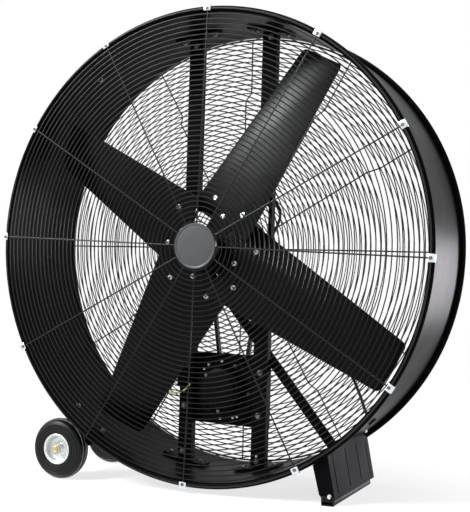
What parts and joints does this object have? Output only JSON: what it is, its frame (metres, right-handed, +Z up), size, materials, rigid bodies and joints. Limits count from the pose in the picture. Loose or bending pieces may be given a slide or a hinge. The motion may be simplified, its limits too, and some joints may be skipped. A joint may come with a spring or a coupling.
{
  "type": "drum fan",
  "caption": "Belt-driven portable drum fan: round steel drum with wire guards, pitched blades on a belt-driven shaft, motor on two struts, side wheels and a fixed foot.",
  "frame": {"origin": "on the floor, under the middle of the fan's bounding box", "axes": "+Z up; -Y is the front, where the air leaves; the fan's axis runs along Y; the wheels are on the -X side and the fixed foot on the +X side"},
  "size_m": [1.134, 0.3046, 1.144],
  "materials": {
    "drum_paint": "semi-gloss black",
    "satin_paint": "satin black",
    "blade_paint": "satin dark grey",
    "guard_paint": "satin black on wire",
    "badge": "satin dark grey, bare",
    "zinc": "bright zinc plate",
    "yellow_zinc": "yellow zinc plate",
    "steel": "machined",
    "stator": "varnished windings on steel",
    "rim_paint": "gloss white",
    "tyre": "moulded rubber",
    "skid_rubber": "matt",
    "belt_rubber": "matt",
    "cord_rubber": "smooth black sheath",
    "gland_plastic": "moulded",
    "earth_wire": "yellow and green sheath"
  },
  "bodies": {
    "frame": {"drum_shell": "drum_paint", "strut_left": "satin_paint", "strut_right": "satin_paint", "strut_foot_top_left": "satin_paint", "strut_foot_top_right": "satin_paint", "strut_foot_bottom_left": "satin_paint", "strut_foot_bottom_right": "satin_paint", "bearing_bridge_front": "satin_paint", "bearing_bridge_rear": "satin_paint", "flange_bearing_front": "steel", "flange_bearing_rear": "steel", "diagonal_brace": "satin_paint", "motor_plate": "satin_paint", "v_belt": "belt_rubber", "terminal_box": "satin_paint", "terminal_box_lid": "satin_paint", "motor_lead": "cord_rubber", "earth_wire": "earth_wire", "lead_gland": "gland_plastic", "motor_shell": "satin_paint", "motor_front_bell": "satin_paint", "motor_rear_bell": "satin_paint", "motor_stator": "stator", "front_guard": "guard_paint", "rear_guard": "guard_paint", "guard_badge": "badge", "axle": "steel", "axle_cap_front": "yellow_zinc", "axle_hanger_front": "satin_paint", "axle_cap_rear": "yellow_zinc", "axle_hanger_rear": "satin_paint", "foot_bracket": "satin_paint", "foot_skid": "skid_rubber", "guard_clip_01": "zinc", "guard_clip_02": "zinc", "guard_clip_03": "zinc", "guard_clip_04": "zinc", "guard_clip_05": "zinc", "guard_clip_06": "zinc", "guard_clip_07": "zinc", "guard_clip_08": "zinc", "guard_clip_09": "zinc", "guard_clip_10": "zinc", "guard_clip_11": "zinc"},
    "rotor": {"fan_shaft": "steel", "fan_hub": "satin_paint", "shaft_nut": "zinc", "driven_pulley": "steel", "blade_1": "blade_paint", "blade_2": "blade_paint", "blade_3": "blade_paint", "blade_4": "blade_paint"},
    "motor_rotor": {"motor_rotor": "steel", "motor_pulley": "steel"},
    "front_wheel": {"front_tyre": "tyre", "front_rim": "rim_paint"},
    "rear_wheel": {"rear_tyre": "tyre", "rear_rim": "rim_paint"}
  },
  "joints": [
    {"name": "fan_spin", "type": "hinge", "parent": "frame", "child": "rotor", "pos_m": [0, 0.0048, 0.577], "axis": [0, -1, 0], "continuous": true},
    {"name": "motor_spin", "type": "hinge", "parent": "frame", "child": "motor_rotor", "pos_m": [-0.01663, 0.0768, 0.22439], "axis": [0, -1, 0], "continuous": true},
    {"name": "front_wheel_roll", "type": "hinge", "parent": "frame", "child": "front_wheel", "pos_m": [-0.41098, -0.1122, 0.076], "axis": [0, 1, 0], "continuous": true},
    {"name": "rear_wheel_roll", "type": "hinge", "parent": "frame", "child": "rear_wheel", "pos_m": [-0.41098, 0.1218, 0.076], "axis": [0, 1, 0], "continuous": true}
  ],
  "couplings": [
    {"joint": "motor_spin", "follows": "fan_spin", "ratio": 2.7668}
  ]
}
